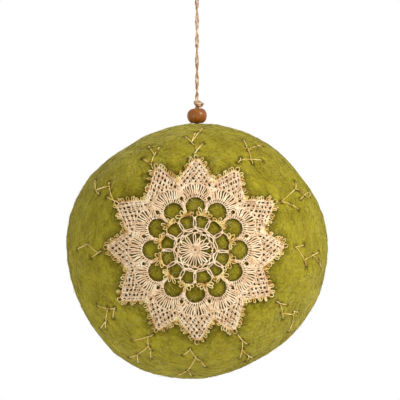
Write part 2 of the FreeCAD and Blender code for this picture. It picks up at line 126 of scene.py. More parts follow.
def felt_material(name, stops, has_painted_shade=False):
    """Needle-felted wool: matt, with a soft sheen at the rim, mottled where dyed tops of two greens mix,
    and streaked by fibres that lie in all directions. The fibres are drawn 1 mm wide, coarser than wool,
    so that they show. Round and under the lace and in the stitch holes, an attribute paints shade
    into the colour as a dark brown."""
    material = new_material(name)
    place = node(material, "ShaderNodeTexCoord").outputs["Object"]
    patches = node(
        material, "ShaderNodeTexNoise", [("Vector", place)],
        Scale=per_metre(11), Detail=3.0, Roughness=0.6, Distortion=0.6,
    )
    streaks = node(
        material, "ShaderNodeTexNoise", [("Vector", place)],
        Scale=per_metre(2.6), Detail=4.0, Roughness=0.62, Distortion=2.2,
    )
    hairs = node(
        material, "ShaderNodeTexNoise", [("Vector", place)],
        Scale=per_metre(0.9), Detail=4.0, Roughness=0.7, Distortion=3.0,
    )
    coarse = node(
        material, "ShaderNodeMix",
        [("Factor", 0.55), (NUMBER_A, patches.outputs["Fac"]), (NUMBER_B, streaks.outputs["Fac"])],
    )
    # The tone shares the streaks and hairs with the bump below, so the colour is darker where the bump
    # is low: painted shade in the hollows, over the dye's mottle.
    tone = node(
        material, "ShaderNodeMix",
        [("Factor", 0.5), (NUMBER_A, coarse.outputs[MIXED_NUMBER]), (NUMBER_B, hairs.outputs["Fac"])],
    )
    colour = node(
        material, "ShaderNodeValToRGB", [("Fac", tone.outputs[MIXED_NUMBER])], stops
    ).outputs["Color"]
    if has_painted_shade:
        # Painted shade: the attribute darkens the colour towards dark brown round the lace's threads and
        # in the stitch holes.
        painted_shade_mask = node(material, "ShaderNodeAttribute", attribute_name="painted_shade")
        colour = node(
            material, "ShaderNodeMix",
            [("Factor", painted_shade_mask.outputs["Fac"]), (COLOUR_A, colour), (COLOUR_B, linear("2c1d04"))],
            data_type="RGBA",
        ).outputs[MIXED_COLOUR]
    height = node(
        material, "ShaderNodeMath", [(0, streaks.outputs["Fac"]), (1, 0.45), (2, hairs.outputs["Fac"])],
        operation="MULTIPLY_ADD",
    )
    bump = node(
        material, "ShaderNodeBump", [("Height", height.outputs["Value"])], Strength=0.7, Distance=0.0005
    )
    shader = node(
        material, "ShaderNodeBsdfPrincipled",
        [("Base Color", colour), ("Normal", bump.outputs["Normal"]), ("Sheen Tint", linear("ddd49a"))],
        Roughness=0.92, IOR=1.5, Sheen_Weight=0.34, Sheen_Roughness=0.3, Specular_IOR_Level=0.12,
    )
    node(material, "ShaderNodeOutputMaterial", [("Surface", shader.outputs["BSDF"])])
    return material


def thread_material(name, stops, ply_mm, roughness, metallic=0.0, sheen=0.0, specular=0.3):
    """Spun thread: its colour wanders along it, and a fine bump as wide as a ply breaks up its light."""
    material = new_material(name)
    place = node(material, "ShaderNodeTexCoord").outputs["Object"]
    drift = node(
        material, "ShaderNodeTexNoise", [("Vector", place)],
        Scale=per_metre(3.0), Detail=3.0, Roughness=0.65, Distortion=0.4,
    )
    colour = node(material, "ShaderNodeValToRGB", [("Fac", drift.outputs["Fac"])], stops)
    plies = node(
        material, "ShaderNodeTexNoise", [("Vector", place)],
        Scale=per_metre(ply_mm), Detail=2.0, Roughness=0.5, Distortion=1.0,
    )
    bump = node(
        material, "ShaderNodeBump", [("Height", plies.outputs["Fac"])], Strength=0.6, Distance=0.0001
    )
    shader = node(
        material, "ShaderNodeBsdfPrincipled",
        [("Base Color", colour.outputs["Color"]), ("Normal", bump.outputs["Normal"])],
        Roughness=roughness, Metallic=metallic, Sheen_Weight=sheen, Sheen_Roughness=0.4,
        Specular_IOR_Level=specular,
    )
    node(material, "ShaderNodeOutputMaterial", [("Surface", shader.outputs["BSDF"])])
    return material


def lacquered_wood():
    """Turned hardwood, stained and lacquered: warm brown, fine grain along the bore, a soft gloss."""
    material = new_material("lacquered_hardwood")
    place = node(material, "ShaderNodeTexCoord").outputs["Object"]
    stretched = node(material, "ShaderNodeMapping", [("Vector", place)], Scale=(1.0, 1.0, 0.16))
    grain = node(
        material, "ShaderNodeTexNoise", [("Vector", stretched.outputs["Vector"])],
        Scale=per_metre(0.9), Detail=5.0, Roughness=0.6, Distortion=0.5,
    )
    colour = node(
        material, "ShaderNodeValToRGB", [("Fac", grain.outputs["Fac"])],
        [(0.3, "5e2c04"), (0.45, "84490e"), (0.58, "965a18"), (0.72, "aa6c26")],
    )
    bump = node(
        material, "ShaderNodeBump", [("Height", grain.outputs["Fac"])], Strength=0.25, Distance=0.00006
    )
    shader = node(
        material, "ShaderNodeBsdfPrincipled",
        [("Base Color", colour.outputs["Color"]), ("Normal", bump.outputs["Normal"])],
        Roughness=0.5, IOR=1.5, Coat_Weight=0.25, Coat_Roughness=0.25, Specular_IOR_Level=0.2,
    )
    node(material, "ShaderNodeOutputMaterial", [("Surface", shader.outputs["BSDF"])])
    return material


# The ball's own wool: chartreuse, mottled browner and lighter; the tone shares its streaks and hairs
# with the bump, so it is darker where the bump is low, a painted shade in the hollows.
wool = felt_material(
    "needle_felted_wool",
    [(0.38, "74660a"), (0.46, "8f8117"), (0.52, "a29522"), (0.6, "b8ab36")],
    has_painted_shade=True,
)
# Single fibres of the darker green, which lie flat and draw thin dark lines.
dark_wool = felt_material("dark_wool_fibres", [(0.35, "6a5c0c"), (0.5, "7c6e18"), (0.65, "908226")])
# Single fibres of the lighter green, which stand off the ball and soften its edge.
loose_wool = felt_material("loose_wool_fibres", [(0.35, "a29530"), (0.5, "b7aa42"), (0.65, "c8bd58")])
# A few fibres that took little dye: long straw-coloured hairs.
pale_wool = felt_material("pale_wool_fibres", [(0.35, "b0a655"), (0.5, "c6bd74"), (0.65, "d8d096")])
# Mercerised crochet cotton: warm ecru, smooth, with a faint lustre.
cotton = thread_material(
    "mercerised_ecru_cotton",
    [(0.3, "d2aa80"), (0.42, "e7c59c"), (0.52, "f3d6af"), (0.64, "f9e5c5")],
    ply_mm=0.35, roughness=0.55, sheen=0.1,
)
# Gilt embroidery thread: its colour wanders at random from pale gold, a painted highlight that stands
# for glints, to brown, a painted shade between them.
gilt = thread_material(
    "gilt_embroidery_thread",
    [(0.32, "8c5410"), (0.4, "d2a038"), (0.5, "eecc6a"), (0.62, "fce8a0")],
    ply_mm=0.3, roughness=0.34, metallic=0.1, specular=0.6,
)
# Gilt crochet thread: a softer and paler gold, since cotton shows through its winding.
pale_gilt = thread_material(
    "gilt_crochet_thread",
    [(0.34, "8a5616"), (0.42, "c89a42"), (0.51, "e2c06c"), (0.63, "f5e1a4")],
    ply_mm=0.3, roughness=0.36, metallic=0.1, specular=0.6,
)
# Twisted beige cotton: matt, and browner than the lace.
cord_cotton = thread_material(
    "twisted_beige_cotton",
    [(0.34, "966a46"), (0.5, "bb936b"), (0.66, "dcc19b")],
    ply_mm=0.3, roughness=0.6, sheen=0.15,
)
wood = lacquered_wood()


# The felt ball.

# Lumps of the ball's outline as the photograph shows it: angle round the view, height in mm, half width.
LUMPS = [
    (5, 1.1, 20),
    (160, 1.2, 17),
    (186, 0.2, 16),
    (236, 1.2, 20),
    (220, -0.7, 9),
    (110, -1.4, 25),
    (303, -1.8, 15),
    (282, -0.9, 15),
    (50, -0.5, 22),
    (130, -0.5, 12),
]
# How far the felt as a whole stands out of a true ball, in mm.
SHRINKAGE = -0.35
# How far from the lace's middle the felt's mesh is finer, and how far from it the lace presses the felt
# and paints shade on it, in mm.
FINE_REACH = 41
LACE_REACH = 42
# How high the threads lie, how far round them the felt gets painted shade and is pressed in, and how
# deep, in mm.
THREAD_HEIGHT = 0.6
PAINTED_SHADE_REACH = 4
PRESS_REACH = 1.9
PRESS_DEPTH = 0.25
# How much painted shade the felt gets near the threads, and how much more is painted right under them.
NEAR_THREAD_PAINTED_SHADE = 0.29
UNDER_THREAD_PAINTED_SHADE = 0.56
# How far round a stitch hole the felt is drawn in and given painted shade, and how deep it is drawn in,
# in mm.
PINCH_SEARCH = 1.4
PINCH_REACH = 1.5
PINCH_DEPTH = 0.3


def lumps(direction):
    """How far the felt stands out of a true ball that way, in metres."""
    rise = SHRINKAGE
    for angle, height, width in LUMPS:
        turn = math.radians(angle)
        away = direction.angle(Vector((math.cos(turn), 0, math.sin(turn))))
        rise += height * math.exp(-((math.degrees(away) / width) ** 2))
    rise += 0.7 * noise.noise(direction * 2.3 + Vector((4, 1, 7)))
    rise += 0.34 * noise.noise(direction * 9.0)
    rise += 0.2 * noise.noise(direction * 24.0)
    return rise * MM


def true_ball(subdivisions):
    ball = bmesh.new()
    bmesh.ops.create_icosphere(ball, subdivisions=subdivisions, radius=BALL_RADIUS)
    return ball


def felt_out(ball):
    """Gives a true ball the felt's lumps and puts it in its place."""
    for vert in ball.verts:
        way = vert.co.normalized()
        vert.co = way * (BALL_RADIUS + lumps(way)) + BALL_CENTRE


def felt_surface():
    """The felt's surface, as a tree that lines of sight are shot at."""
    ball = true_ball(6)
    felt_out(ball)
    tree = BVHTree.FromBMesh(ball)
    ball.free()
    return tree


felt_tree = felt_surface()


def on_felt(px, py, lift):
    """The point of the felt that the photograph shows at that pixel, lifted by so many mm."""
    across = (px - BALL_PIXEL[0]) * PIXEL_MM * MM
    up = (BALL_PIXEL[1] - py) * PIXEL_MM * MM
    target = Vector((across, 0, up)) + BALL_CENTRE
    hit = felt_tree.ray_cast(EYE, (target - EYE).normalized())[0]
    return hit + (hit - BALL_CENTRE).normalized() * lift * MM


def finished_mesh(form, name):
    """The mesh of a bmesh, which it frees."""
    mesh = bpy.data.meshes.new(name)
    form.to_mesh(mesh)
    form.free()
    return mesh


def felt_mesh(pinches):
    """The ball, wet felted a little out of round, pressed in by the lace and drawn in by each stitch,
    with painted shade kept in an attribute round the threads and the stitch holes.
    """
    ball = true_ball(7)
    middle = (on_felt(*DOILY_PIXEL, 0) - BALL_CENTRE).normalized() * BALL_RADIUS
    under_lace = [e for e in ball.edges if (e.verts[0].co - middle).length < FINE_REACH * MM]
    bmesh.ops.subdivide_edges(ball, edges=under_lace, cuts=1, use_grid_fill=True)
    # This attribute holds painted shade: how far the felt's colour is darkened.
    mark = ball.verts.layers.float.new("painted_shade")
    near_lace = {}
    for vert in ball.verts:
        if (vert.co - middle).length < LACE_REACH * MM:
            near_lace[vert] = vert.co.normalized()
    felt_out(ball)
    threads = KDTree(len(pressed))
    for index, spot in enumerate(pressed):
        threads.insert(spot, index)
    threads.balance()
    for vert, way in near_lace.items():
        gap = threads.find(vert.co + way * THREAD_HEIGHT * MM)[2] / MM
        share = max(0.0, 1 - gap / PRESS_REACH)
        # Painted shade within reach of a thread, and more of it right under the thread.
        vert[mark] = NEAR_THREAD_PAINTED_SHADE * min(1.0, max(0.0, PAINTED_SHADE_REACH - gap)) + UNDER_THREAD_PAINTED_SHADE * share
        vert.co -= way * PRESS_DEPTH * share * MM
    tree = BVHTree.FromBMesh(ball)
    ball.faces.ensure_lookup_table()
    for hole in pinches:
        for vert, share in pinched_and_shaded_verts(ball, tree, hole).items():
            # The share paints shade into the felt round the hole, as well as drawing it in.
            vert[mark] = max(vert[mark], share)
            vert.co += (BALL_CENTRE - vert.co).normalized() * share * PINCH_DEPTH * MM
    return finished_mesh(ball, "felt_ball_wool")


def pinched_and_shaded_verts(ball, tree, hole):
    """The felt's points round a stitch hole, each with its share of the pull, which is also its share of
    painted shade.
    """
    shares = {}
    for location, normal, index, distance in tree.find_nearest_range(hole, PINCH_SEARCH * MM):
        for vert in ball.faces[index].verts:
            gap = (vert.co - hole).length
            shares[vert] = min(1.0, 1.7 * max(0.0, 1 - gap / (PINCH_REACH * MM)))
    return shares


def add_piece(mesh, slot, materials, *nodes):
    """Links a finished mesh as a piece that stands for some CAD nodes."""
    piece = bpy.data.objects.new(mesh.name, mesh)
    bpy.context.scene.collection.objects.link(piece)
    for material in materials:
        mesh.materials.append(material)
    mesh.polygons.foreach_set("use_smooth", [True] * len(mesh.polygons))
    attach(piece, "root")
    if nodes:
        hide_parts(*nodes)
    return piece


# Threads.


def smooth_curve(name, routes, steps):
    """A curve with one open NURBS spline for each route, whose points are the control points."""
    curve = bpy.data.curves.new(name, "CURVE")
    curve.dimensions = "3D"
    curve.resolution_u = steps
    for route in routes:
        spline = curve.splines.new("NURBS")
        spline.points.add(len(route) - 1)
        for point, place in zip(spline.points, route):
            point.co = (*place, 1)
        spline.order_u = 3
        spline.use_endpoint_u = True
    return curve


def mesh_of(curve):
    """The mesh that a curve gives."""
    carrier = bpy.data.objects.new(curve.name, curve)
    mesh = bpy.data.meshes.new_from_object(carrier)
    bpy.data.objects.remove(carrier)
    return mesh


def spline_path(name, route, steps):
    """Points along the smooth line of a route's NURBS spline."""
    mesh = mesh_of(smooth_curve(name, [route], steps))
    path = [vert.co.copy() for vert in mesh.vertices]
    bpy.data.meshes.remove(mesh)
    return path


def thread_mesh(name, strands, sides=4, steps=3):
    """Strands as one mesh: each is (points, radii in mm, material number) and runs as a smooth line."""
    curve = smooth_curve(name, [points for points, radii, number in strands], steps)
    curve.bevel_depth = MM
    curve.bevel_resolution = (sides - 4) // 2
    curve.use_fill_caps = True
    for spline, (points, radii, number) in zip(curve.splines, strands):
        spline.points.foreach_set("radius", radii)
        spline.material_index = number
    mesh = mesh_of(curve)
    mesh.name = name
    return mesh


# The doily: every thread is laid in a petal's own frame, mm across and mm out from the doily's middle.
# A turn is the angle that the frame points to, and a radius is half of a thread's thickness in mm.

# Every thread lies this far off the felt in mm, plus its own lift, drawn this many times as large.
LACE_LIFT = 0.15
LIFT_SCALE = 1.25

def on_doily(across, out, turn, lift):
    spin = math.radians(turn - 90)
    x = across * math.cos(spin) - out * math.sin(spin)
    z = across * math.sin(spin) + out * math.cos(spin)
    return on_felt(DOILY_PIXEL[0] + x / PIXEL_MM, DOILY_PIXEL[1] - z / PIXEL_MM, lift)


def lay(strands, route, turn, radius=0.25, lift=0.35, loose=0.05):
    """Lays one thread through (across, out) points, or (across, out, lift) points, a little unevenly."""
    points = []
    for spot in route:
        height = spot[2] if len(spot) > 2 else lift
        across = spot[0] + hand.gauss(0, loose)
        out = spot[1] + hand.gauss(0, loose)
        rise = LACE_LIFT + LIFT_SCALE * height + hand.uniform(-0.06, 0.06)
        points.append(on_doily(across, out, turn, rise))
    pressed.extend(points)
    pressed.extend((a + b) / 2 for a, b in zip(points, points[1:]))
    thick = radius * hand.uniform(0.9, 1.12)
    radii = [thick * hand.uniform(0.93, 1.08) for _ in points]
    strands.append((points, radii, 0))


def polar(radius, degrees):
    """How far across and out a spot lies, from its distance and its angle off the outward line."""
    return radius * math.sin(math.radians(degrees)), radius * math.cos(math.radians(degrees))


def lay_knot(strands, across, out, turn, size, radius, lift=0.55):
    """A small knot: one and a bit tight turns of thread."""
    start = hand.uniform(0, 360)
    route = []
    for step in range(8):
        a, o = polar(size, start + step * 62)
        route.append((across + a, out + o, lift + 0.02 * step))
    lay(strands, route, turn, radius, loose=0.03)


# A picot's outline, as shares of half its width and of its length.
PICOT = [(-0.1, -0.2), (-0.75, 0.45), (-0.9, 0.8), (0, 1.12), (0.9, 0.8), (0.75, 0.45), (0.1, -0.2)]


def lay_picot(strands, across, out, turn, lean, length, width, radius, lift):
    """A picot: a small loop of thread that leaves a spot and comes back to it."""
    spin = math.radians(lean)
    route = []
    for side, reach in PICOT:
        a = side * width / 2
        o = reach * length
        route.append((
            across + a * math.cos(spin) + o * math.sin(spin),
            out - a * math.sin(spin) + o * math.cos(spin),
            lift + 0.15 * reach,
        ))
    lay(strands, route, turn, radius, loose=0.07)


# The sixteen loops round the middle, read off the photograph: angle, and how far out each ends, in mm.
CENTRE_LOOPS = [
    (12, 5.5), (27, 5.6), (48, 4.9), (71, 4.8), (94, 6.6), (127, 6.7), (151, 6.4), (170, 6.4),
    (187, 6.3), (208, 6.4), (227, 6.7), (246, 6.7), (268, 6.8), (293, 6.4), (313, 6.4), (337, 6.4),
]
LOOP_ROOT = 1.9
# The rounds of the rosette, from the chain on the loops' ends to the top of the posts, in mm.
CHAIN = 7.05
ZIGZAG_KNOT = 8.9
RING = 9.3
POST_FOOT = 9.1
POST_TOP = 13.0
# The twelve posts between the small holes.
POSTS = [91, 63, 33, 357, 328, 303, 269, 241, 211, 180, 151, 121]
# A gold arc over a small hole, from post to post: mm beyond the post top, and share of the half angle.
GOLD_ARC = [
    (0.0, -1.0), (0.9, -0.88), (1.85, -0.45), (2.15, 0.0), (1.85, 0.45), (0.9, 0.88), (0.0, 1.0),
]


def post_gaps():
    """Each gap from a post to the next one clockwise: the angle of its middle, and half its width."""
    gaps = []
    for first, second in zip(POSTS, POSTS[1:] + POSTS[:1]):
        half = ((first - second) % 360) / 2
        gaps.append((first - half, half))
    return gaps


def rosette_middle(strands):
    """The coil in the middle, short stitches over it, and the loops and the chain round it."""
    coil = [(*polar(0.5 + 0.042 * step, step * 31), 0.3) for step in range(32)]
    lay(strands, coil, 90, radius=0.24, loose=0.03)
    for step in range(16):
        spread = step * 360 / 16 + hand.uniform(-4, 4)
        route = [(*polar(0.6, 0), 0.35), (*polar(1.4, 5), 0.75), (*polar(2.4, 1), 0.4)]
        lay(strands, route, spread, loose=0.08)
    for turn, reach in CENTRE_LOOPS:
        leg = [(0.18, LOOP_ROOT), (0.38, 3.4), (0.56, reach - 1.0), (0.42, reach - 0.1)]
        route = [(-across, out) for across, out in leg] + [(0, reach + 0.2)] + leg[::-1]
        lay(strands, route, turn, radius=0.24, lift=0.5)
        lay(strands, [(0, reach, 0.45), (0.2, reach + 0.5), (-0.1, CHAIN + 0.15)], turn, radius=0.22)
        lay_knot(strands, 0, reach + 0.2, turn, size=0.24, radius=0.2)
    chain = []
    for step in range(73):
        wave = 0.3 * math.sin(step * 2.6) + 0.2 * math.sin(step * 1.1)
        chain.append((*polar(CHAIN + wave, step * 5), 0.4 + 0.15 * math.sin(step * 1.7)))
    lay(strands, chain, 90, radius=0.21)


def rosette_gap(strands, turn, half):
    """One gap between two posts: a doubled zigzag, the ring over it, knots and the gold arc's core."""
    apex = hand.uniform(7.7, 8.2)
    drift = hand.uniform(-2.5, 2.5)
    for side in (-1, 1):
        for slip in (-0.11, 0.11):
            route = [
                (*polar(ZIGZAG_KNOT + slip, side * half), 0.5),
                (*polar(8.3 + slip, side * half * 0.5 + drift / 2), 0.65),
                (*polar(apex + slip, drift), 0.45),
            ]
            lay(strands, route, turn, radius=0.17, loose=0.09)
        foot = hand.uniform(6.4, 7.1)
        route = [
            (*polar(apex, drift), 0.45),
            (*polar(7.7, side * half * 0.5), 0.6),
            (*polar(foot, side * half), 0.4),
        ]
        lay(strands, route, turn, radius=0.2)
    ring = []
    for share in (-1.1, -0.5, 0, 0.5, 1.1):
        ring.append((*polar(RING - 0.3 * (1 - share * share), share * half), 0.42 + 0.1 * share * share))
    lay(strands, ring, turn, radius=0.21, loose=0.13)
    lay_knot(strands, *polar(apex, drift), turn, size=0.34, radius=0.22, lift=0.7)
    lay_knot(strands, *polar(CHAIN - 0.05, half), turn, size=0.28, radius=0.22)
    lay_knot(strands, *polar(ZIGZAG_KNOT, half), turn, size=0.4, radius=0.22, lift=0.7)
    lay_knot(strands, *polar(RING + 0.3, half + 1), turn, size=0.3, radius=0.22, lift=0.7)
    lay_knot(strands, *polar(POST_TOP + 0.1, half), turn, size=0.42, radius=0.26, lift=0.7)
    arc = [(*polar(POST_TOP + rise, share * half), 0.35) for rise, share in GOLD_ARC]
    lay(strands, arc, turn, radius=0.22)


def rosette():
    strands = []
    rosette_middle(strands)
    for turn, half in post_gaps():
        rosette_gap(strands, turn, half)
    for turn in POSTS:
        wide = hand.uniform(0.48, 0.64)
        for side in (-1, 1):
            route = [
                (side * 0.12, POST_FOOT - 0.6), (side * wide, POST_FOOT + 0.5),
                (side * wide, POST_TOP - 1.1), (side * 0.15, POST_TOP + 0.2),
            ]
            lay(strands, route, turn, radius=0.22, lift=0.5)
    return strands


ARC_WRAPS = 8
ARC_PICOT_LEANS = (-78, -34, 14, 56, 88)


def gold_ring():
    """Gold thread wrapped round the arcs over the small holes, each with five picots and two knots."""
    strands = []
    for turn, half in post_gaps():
        for step in range(ARC_WRAPS):
            share = -0.94 + 0.268 * step
            reach = POST_TOP + 2.1 * (1 - abs(share) ** 2.4)
            wrap = [
                (*polar(reach - 0.45, share * half - 2.6), 0.3),
                (*polar(reach + 0.05, share * half), 0.95),
                (*polar(reach + 0.6, share * half + 2.6), 0.3),
            ]
            lay(strands, wrap, turn, radius=0.17, loose=0.08)
        top = POST_TOP + 2.0
        for lean in ARC_PICOT_LEANS:
            swing = lean + hand.uniform(-16, 16)
            length = hand.uniform(1.9, 3.1)
            width = hand.uniform(1.0, 1.7)
            across = lean * 0.011 + hand.uniform(-0.2, 0.2)
            root = top - abs(lean) * 0.005
            lay_picot(strands, across, root, turn, swing, length, width, radius=0.2, lift=0.6)
        lay_knot(strands, -0.4, top + 0.2, turn, size=0.3, radius=0.17, lift=0.8)
        lay_knot(strands, 0.5, top + 0.1, turn, size=0.28, radius=0.17, lift=0.8)
    return strands


# The petals: a round hole each, a fan of loops over it, and a mesh that narrows to the tip, in mm.
ARCH_CENTRE = 17.95
ARCH_INNER = 4.45
ARCH_OUTER = 5.65
ARCH_STITCHES = 21
FAN_LOOPS = 8
FAN_TOP = 27.3
FAN_DROP = 2.6
FAN_HALF_WIDTH = 6.6
NOTCH = 28.3
TIP_HALF_WIDTH = 1.1
MESH_FOOT = 24.6
FIRST_ROW = 28.4
ROW_STEP = 1.45
HOLE_STEP = 2.3
MESH_SLIP = 0.33
LEAN_FOOT = 27.0
# How far out each petal's mesh ends in mm, anticlockwise from the right one, as the photograph shows.
PETAL_TIPS = [36.3, 37.4, 36.6, 37.4, 37.2, 37.0, 36.0, 36.3, 35.8, 37.0, 36.3, 35.6]
# How far each petal leans, in degrees.
PETAL_LEANS = [5, 2.5, 4, -1.5, -9, -1, -3.5, 7, 9, 2.5, -8, -1]


def half_width(out, tip):
    """Half of a petal's width that far out, in mm."""
    widest = NOTCH * RIB_SLOPE - 0.15
    if out < NOTCH:
        return widest * out / NOTCH
    return max(0.0, widest - (out - NOTCH) * (widest - TIP_HALF_WIDTH) / (tip - NOTCH))


def skewed(across, out, lean):
    """Leans the outer part of a petal sideways."""
    return across - max(0.0, out - LEAN_FOOT) * math.tan(math.radians(lean)) * 2.0


def fan_end(across):
    """How far out the fan's loops end there."""
    return FAN_TOP - FAN_DROP * (abs(across) / FAN_HALF_WIDTH) ** 2


def arch_spot(reach, angle, rise):
    """A point round a large hole, kept on its own side of the rib between two holes."""
    across, out = polar(reach, angle)
    out += ARCH_CENTRE
    rib = out * RIB_SLOPE + 0.05
    return max(-rib, min(rib, across)), out, rise


def petal_fans(strands, turn):
    for reach in (ARCH_INNER, ARCH_OUTER):
        arch = [arch_spot(reach, -105 + step * 10.5, 0.2) for step in range(21)]
        lay(strands, arch, turn, radius=0.17)
    for step in range(ARCH_STITCHES):
        angle = -102 + step * 10.2 + hand.uniform(-1, 1)
        route = [
            arch_spot(ARCH_INNER - 0.3, angle - 2, 0.2),
            arch_spot((ARCH_INNER + ARCH_OUTER) / 2, angle, 0.85),
            arch_spot(ARCH_OUTER + 0.25, angle + 2, 0.25),
        ]
        lay(strands, route, turn, loose=0.1)
    for step in range(FAN_LOOPS):
        angle = -48 + 13.7 * step + hand.uniform(-1.5, 1.5)
        route = []
        for side in (-1, 1):
            lean = angle + 3.5 * side
            end = 6.7 * math.sin(math.radians(lean * 1.4))
            leg = [
                arch_spot(ARCH_OUTER, lean, 0.3),
                arch_spot(ARCH_OUTER + 1.6, lean, 0.5),
                (end * 0.97 + side * 0.1, fan_end(end) - 1.2, 0.6),
                (end - side * 0.1, fan_end(end) + 0.1, 0.5),
            ]
            route += leg if side < 0 else leg[::-1]
        lay(strands, route, turn, radius=0.32, loose=0.09)


def mesh_thread(strands, turn, tip, lean, family, column, slip):
    """One slanting thread of a petal's mesh. It goes over and under those of the other slant."""
    slant = HOLE_STEP / 2 / ROW_STEP
    route = []
    out = MESH_FOOT
    while out <= tip + 0.3:
        across = (column + 0.5) * HOLE_STEP + slip + family * (out - FIRST_ROW) * slant
        if abs(across) <= half_width(out, tip) + 0.1 and out > fan_end(across) - 0.2:
            wave = 0.12 * math.sin(out * 4 + column)
            high = 0.42 + 0.28 * math.sin((out - FIRST_ROW) * math.pi / ROW_STEP + family * 1.57)
            route.append((skewed(across + wave, out, lean), out, high))
        out += ROW_STEP / 2
    if len(route) > 2:
        lay(strands, route, turn, loose=0.17)


def petal_mesh(strands, turn, tip, lean):
    for family in (-1, 1):
        for column in range(-9, 10):
            for slip in (-MESH_SLIP, MESH_SLIP):
                mesh_thread(strands, turn, tip, lean, family, column, slip)
    rows = int((tip - FIRST_ROW) / ROW_STEP) + 1
    for row in range(-2, rows):
        out = FIRST_ROW + row * ROW_STEP
        for column in range(-4, 5):
            across = (column + 0.5 + 0.5 * (row % 2)) * HOLE_STEP
            outside = abs(across) > half_width(out, tip) - 0.3 or out < fan_end(across)
            if outside or hand.random() < 0.25:
                continue
            lay_knot(strands, skewed(across, out, lean), out, turn, size=0.2, radius=0.2, lift=0.7)
    chain = []
    for step in range(27):
        across = -6.5 + step * 0.5
        chain.append((across, fan_end(across) + 0.3 + 0.2 * (-1) ** step, 0.55))
    lay(strands, chain, turn, radius=0.24)
    for inset, high in ((0.1, 0.35), (0.5, 0.6)):
        edge = []
        for side in (-1, 1):
            run = []
            for step in range(17):
                out = NOTCH - 1.5 + (tip - NOTCH + 1.5) * step / 16
                across = side * (half_width(out, tip) - inset + 0.12 * (-1) ** step)
                run.append((skewed(across, out, lean), out, high))
            edge += run if side < 0 else run[::-1]
        lay(strands, edge, turn, radius=0.24)


# The bridges over a rib: how far out, and half their width. Its knots: how far out, size and radius.
RIB_BRIDGES = [(19.7, 0.8), (23.0, 1.0), (24.0, 1.2)]
RIB_KNOTS = [(18.9, 0.45, 0.25), (25.0, 0.35, 0.24), (26.4, 0.3, 0.24), (28.3, 0.4, 0.25)]


def rib(strands, turn):
    """The rib between two large holes: threads, bridges and knots round a small opening."""
    for side in (-1, 1):
        lay(strands, [(side * 0.25, 15.9), (side * 0.4, 17.2), (side * 0.25, 18.8)], turn, lift=0.5)
    for out, reach in RIB_BRIDGES:
        bridge = [(-reach, out + 0.2), (0, out - 0.1), (reach, out + 0.2)]
        lay(strands, bridge, turn, radius=0.26, lift=0.6)
    for side in (-1, 1):
        route = [(side * 0.9, 20.2), (side * 1.2, 21.6), (side * 0.9, 23.1)]
        lay(strands, route, turn, radius=0.24, lift=0.5)
    for out, size, radius in RIB_KNOTS:
        lay_knot(strands, 0, out, turn, size, radius)


def petal_ring():
    strands = []
    for number in range(12):
        turn = number * PETAL_STEP
        petal_fans(strands, turn)
        petal_mesh(strands, turn, PETAL_TIPS[number], PETAL_LEANS[number])
        rib(strands, turn + PETAL_STEP / 2)
    return strands


EDGE_STEPS = 18
PICOTS_A_SIDE = 8


def edge_side(strands, turn, tip, lean, side):
    """The gold thread along one side of a petal, a zigzag with picots on it."""
    span = tip + 0.2 - NOTCH
    route = []
    for step in range(EDGE_STEPS + 1):
        out = NOTCH - 0.6 + (span + 0.2) * step / EDGE_STEPS
        across = side * (half_width(out, tip) + 0.12 + 0.22 * (-1) ** step)
        route.append((skewed(across, out, lean), out, 0.6 + 0.15 * (-1) ** (step // 2)))
    lay(strands, route, turn, radius=0.16)
    for step in range(PICOTS_A_SIDE):
        out = NOTCH - 0.2 + (span - 0.2) * step / 7.4 + hand.uniform(-0.3, 0.3)
        across = side * (half_width(out, tip) - 0.15)
        swing = side * (62 - 3 * step + hand.uniform(-36, 36))
        length = hand.uniform(1.1, 1.9) + 0.05 * step
        width = hand.uniform(0.8, 1.4)
        root = skewed(across, out, lean)
        lay_picot(strands, root, out, turn, swing, length, width, radius=0.22, lift=0.45)


def gold_edging():
    strands = []
    for number in range(12):
        turn = number * PETAL_STEP
        tip = PETAL_TIPS[number]
        lean = PETAL_LEANS[number]
        for side in (-1, 1):
            edge_side(strands, turn, tip, lean, side)
        crown = skewed(0, tip, lean)
        swing = hand.uniform(-12, 12)
        lay_picot(strands, crown, tip - 0.1, turn, swing, length=1.9, width=2.0, radius=0.23, lift=0.45)
        lay_knot(strands, crown - 0.8, tip - 0.1, turn, size=0.4, radius=0.2)
        lay_knot(strands, crown + 0.8, tip - 0.1, turn, size=0.4, radius=0.2)
    return strands


